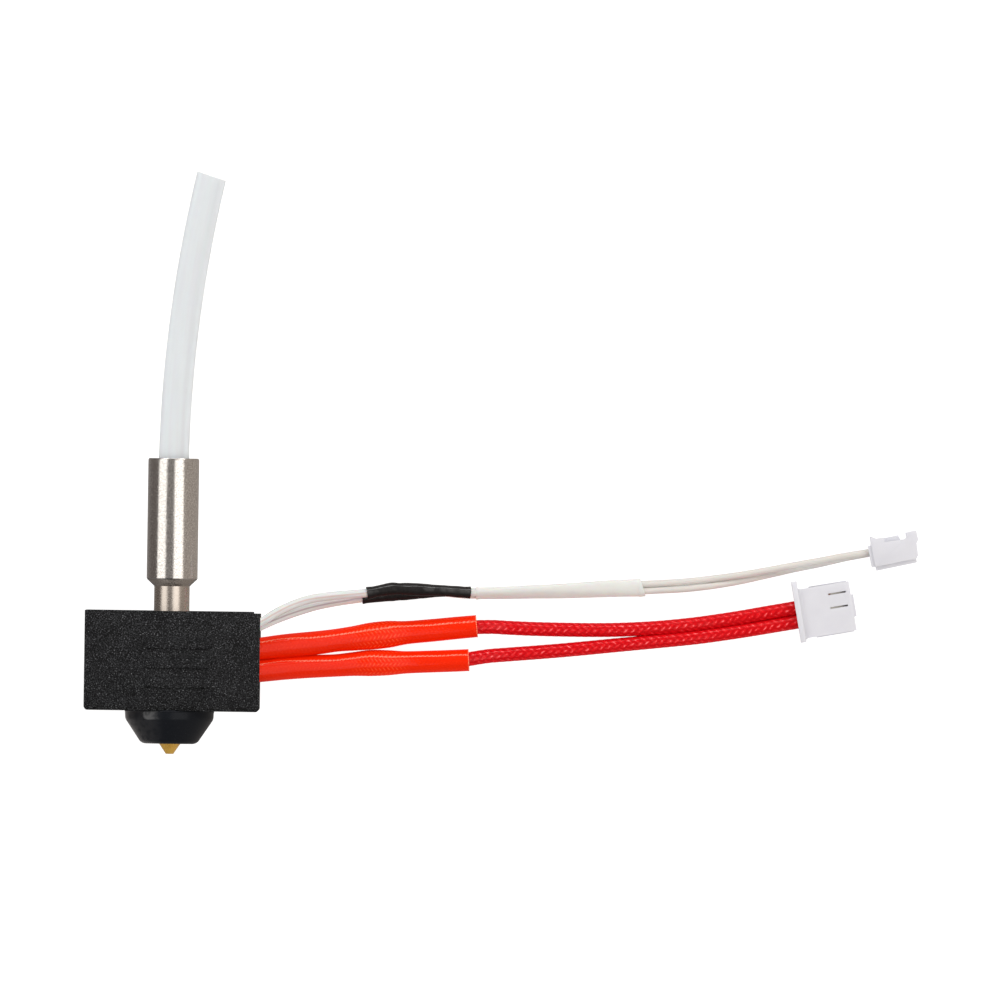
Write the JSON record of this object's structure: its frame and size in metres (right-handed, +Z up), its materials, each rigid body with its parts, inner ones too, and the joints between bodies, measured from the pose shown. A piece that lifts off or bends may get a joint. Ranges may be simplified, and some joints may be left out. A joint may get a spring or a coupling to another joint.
{
  "type": "printer hot end",
  "caption": "Hot end for a filament printer: sock-covered heater block, nozzle, heat break with liner, cartridge heater and thermistor leads with plugs.",
  "frame": {"origin": "on the resting plane, at the sock's back face, under the nozzle's axis and level with the sock's middle", "axes": "+Z up from the table, +Y along the nozzle's axis away from the tip, +X along the leads"},
  "size_m": [0.1109, 0.0775, 0.0198],
  "materials": {
    "silicone": "moulded, fine spark-eroded texture on the body, glossy on the collar",
    "aluminium": "milled",
    "brass": "turned",
    "stainless": "turned, satin",
    "ptfe": "waxy, slightly translucent",
    "cartridge_steel": "drawn",
    "ceramic": "fired ceramic",
    "resistance_wire": "oxidised",
    "black_oxide": "blackened",
    "zinc": "zinc plated",
    "bead_glass": "glass bead",
    "glass_braid": "braided glass fibre",
    "tinned_metal": "tinned",
    "orange_braid": "silicone-coated glass braid, glossy",
    "red_braid": "varnished braid",
    "plug_nylon": "moulded nylon",
    "clear_sleeving": "translucent",
    "heat_shrink": "satin",
    "white_sleeving": "satin",
    "ivory_wire": "satin"
  },
  "bodies": {
    "hot_end": {"heater_block": "aluminium", "nozzle": "brass", "heat_break": "stainless", "cartridge_shell": "cartridge_steel", "cartridge_core": "ceramic", "cartridge_coil": "resistance_wire", "cartridge_seal": "ceramic", "heater_grub_screw": "black_oxide", "thermistor_clamp_screw": "zinc", "thermistor_clamp_washer": "zinc", "thermistor_bead": "bead_glass", "heater_lead_upper": "glass_braid", "heater_lead_lower": "glass_braid", "heater_splice_upper": "tinned_metal", "heater_splice_lower": "tinned_metal", "heater_sleeve_upper": "orange_braid", "heater_sleeve_lower": "orange_braid", "heater_wire_upper": "red_braid", "heater_wire_lower": "red_braid", "heater_plug_housing": "plug_nylon", "heater_terminal_upper": "tinned_metal", "heater_terminal_lower": "tinned_metal", "thermistor_lead_front": "clear_sleeving", "thermistor_lead_rear": "clear_sleeving", "thermistor_splice_front": "tinned_metal", "thermistor_splice_rear": "tinned_metal", "black_shrink_front": "heat_shrink", "black_shrink_rear": "heat_shrink", "white_sleeve": "white_sleeving", "thermistor_wire_front": "ivory_wire", "thermistor_wire_rear": "ivory_wire", "thermistor_plug_housing": "plug_nylon", "thermistor_terminal_front": "tinned_metal", "thermistor_terminal_rear": "tinned_metal"},
    "sock": {"silicone_sock": "silicone"},
    "liner": {"ptfe_tube": "ptfe"}
  },
  "joints": [
    {"name": "sock_slide", "type": "slide", "parent": "hot_end", "child": "sock", "axis": [0, -1, 0], "range_m": [0, 0.02]},
    {"name": "liner_slide", "type": "slide", "parent": "hot_end", "child": "liner", "axis": [0, 1, 0], "range_m": [0, 0.03]}
  ]
}
